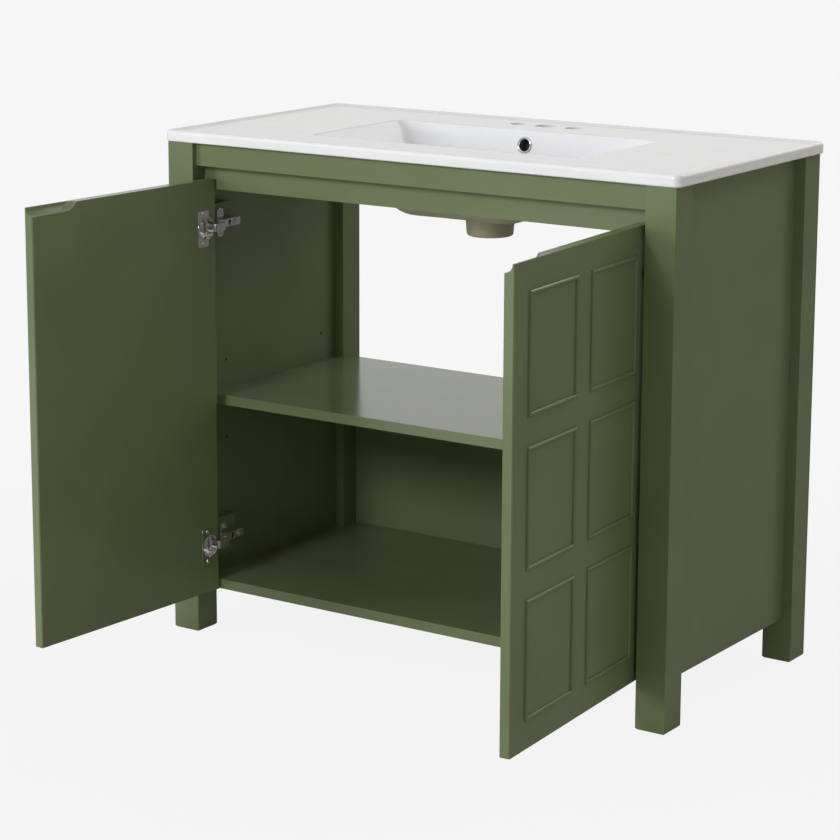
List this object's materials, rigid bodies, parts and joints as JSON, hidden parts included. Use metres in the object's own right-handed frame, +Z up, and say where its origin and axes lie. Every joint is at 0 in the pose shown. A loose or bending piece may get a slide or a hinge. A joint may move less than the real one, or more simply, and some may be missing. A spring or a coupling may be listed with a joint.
{
  "type": "vanity unit",
  "caption": "Free-standing green two-door bathroom vanity on square legs, with bead-framed doors, one shelf, an open back and a white ceramic basin top.",
  "frame": {"origin": "middle of the whole unit's footprint on the floor, with the doors open as stored", "axes": "+X to the right seen from the front, +Y from the front to the wall, +Z up"},
  "size_m": [0.912, 0.8267, 0.813],
  "materials": {
    "green_lacquer": "satin green lacquer on board and solid wood",
    "glazed_ceramic": "gloss white glaze",
    "nickel_steel": "nickel-plated stamped steel",
    "chrome": "polished",
    "beech_dowel": "bare beech",
    "grey_nylon": "moulded nylon"
  },
  "bodies": {
    "carcass": {"front_left_leg": "green_lacquer", "front_right_leg": "green_lacquer", "rear_left_leg": "green_lacquer", "rear_right_leg": "green_lacquer", "left_side_panel": "green_lacquer", "right_side_panel": "green_lacquer", "upper_front_rail": "green_lacquer", "lower_front_rail": "green_lacquer", "rear_top_rail": "green_lacquer", "bottom_panel": "green_lacquer", "back_panel": "green_lacquer", "shelf": "green_lacquer", "left_hinge_blocks": "green_lacquer", "right_hinge_blocks": "green_lacquer", "left_hinge_arms": "nickel_steel", "left_mounting_plates": "nickel_steel", "left_plate_screws": "nickel_steel", "left_arm_screws": "nickel_steel", "right_hinge_arms": "nickel_steel", "right_mounting_plates": "nickel_steel", "right_plate_screws": "nickel_steel", "right_arm_screws": "nickel_steel", "leg_glides": "grey_nylon", "rail_dowels": "beech_dowel", "bottom_dowels": "beech_dowel", "shelf_pins": "nickel_steel", "ceramic_top": "glazed_ceramic", "overflow_ring": "chrome"},
    "left_door": {"left_door_panel": "green_lacquer", "left_door_beads": "green_lacquer", "left_hinge_cups": "nickel_steel", "left_cup_screws": "nickel_steel", "left_hinge_pins": "nickel_steel"},
    "right_door": {"right_door_panel": "green_lacquer", "right_door_beads": "green_lacquer", "right_hinge_cups": "nickel_steel", "right_cup_screws": "nickel_steel", "right_hinge_pins": "nickel_steel"}
  },
  "joints": [
    {"name": "left_door_hinge", "type": "hinge", "parent": "carcass", "child": "left_door", "pos_m": [-0.388, -0.0274, 0.4055], "axis": [0, 0, -1], "range_deg": [-93.6, 11.4]},
    {"name": "right_door_hinge", "type": "hinge", "parent": "carcass", "child": "right_door", "pos_m": [0.388, -0.0274, 0.4055], "axis": [0, 0, 1], "range_deg": [-93.6, 11.4]}
  ]
}
